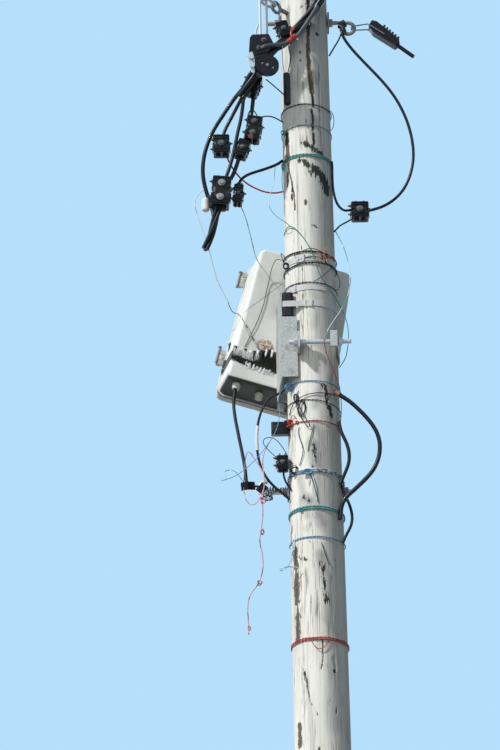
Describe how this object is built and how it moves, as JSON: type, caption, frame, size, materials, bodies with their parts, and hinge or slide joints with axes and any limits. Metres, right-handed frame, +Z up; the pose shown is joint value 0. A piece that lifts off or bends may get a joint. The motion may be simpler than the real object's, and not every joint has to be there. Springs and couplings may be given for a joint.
{
  "type": "wooden telephone pole",
  "caption": "Weathered wooden utility pole with galvanised head fittings, tied cables, steel bands and a crooked moulded distribution box on a bracket.",
  "frame": {"origin": "centre of the pole's foot at ground level", "axes": "+Z up along the pole, +X to the right and -Y towards the camera as the picture shows it"},
  "size_m": [0.8039, 0.5721, 7.5],
  "materials": {
    "band_steel": "satin",
    "black_cable": "satin",
    "black_polymer": "matte",
    "blue_wire": "satin",
    "box_moulding": "matte",
    "bracket_steel": "satin",
    "connector_polymer": "matte",
    "copper_sleeve": "satin",
    "dark_steel": "matte",
    "dark_wire": "satin",
    "galvanised": "satin",
    "green_wire": "satin",
    "pale_cable": "satin",
    "pale_polymer": "matte",
    "pink_wire": "satin",
    "red_wire": "satin",
    "rubber_pad": "matte",
    "weathered_wood": "matte",
    "white_ceramic": "gloss"
  },
  "bodies": {
    "pole": {"anchor_hook": "dark_steel", "band_pad": "rubber_pad", "box_body": "box_moulding", "box_cable": "pale_cable", "box_hinges": "dark_steel", "bracket_channel": "bracket_steel", "cable_glands": "pale_polymer", "clamp_bail": "galvanised", "clamp_collar": "bracket_steel", "clamp_keeper": "galvanised", "clamp_nuts": "galvanised", "clamp_rod_front": "galvanised", "clamp_rod_rear": "galvanised", "clamp_spool": "black_polymer", "contact_sleeve": "copper_sleeve", "drop_clamps": "black_polymer", "insulator_knob": "white_ceramic", "jumper_black": "black_cable", "jumper_red": "red_wire", "jumper_return": "black_cable", "jumper_right": "black_cable", "junction_block": "black_polymer", "line_bundle": "black_cable", "line_strands": "black_cable", "line_tail": "black_cable", "loop_high": "black_cable", "loop_low": "black_cable", "loop_mid": "black_cable", "pigtail_bolt": "galvanised", "pigtail_nuts": "galvanised", "pole_cable": "black_cable", "pole_shaft": "weathered_wood", "service_fixings": "dark_steel", "service_hook": "dark_steel", "service_tail": "black_cable", "shackle_link": "galvanised", "square_washers": "galvanised", "steel_bands": "band_steel", "strain_clamp": "black_polymer", "tap_connectors": "connector_polymer", "tape_wraps": "black_polymer", "terminal_blocks": "pale_polymer", "terminal_rail": "galvanised", "thin_jumpers": "black_cable", "tie_wires_blue": "blue_wire", "tie_wires_dark": "dark_wire", "tie_wires_green": "green_wire", "tie_wires_red": "red_wire", "wedge_bail": "galvanised", "wedge_clamp": "black_polymer", "wire_arc": "green_wire", "wire_blue": "blue_wire", "wire_green": "green_wire", "wire_knot": "dark_wire", "wire_pink": "pink_wire", "wire_striped": "pale_cable", "wire_teal": "green_wire", "wire_white": "pale_cable"},
    "lid": {"box_lid": "box_moulding"}
  },
  "joints": [
    {"name": "lid_hinge", "type": "hinge", "parent": "pole", "child": "lid", "pos_m": [-0.28308, 0.23465, 6.12588], "axis": [0.2437, 0.0608, 0.968], "range_deg": [0, 110]}
  ]
}
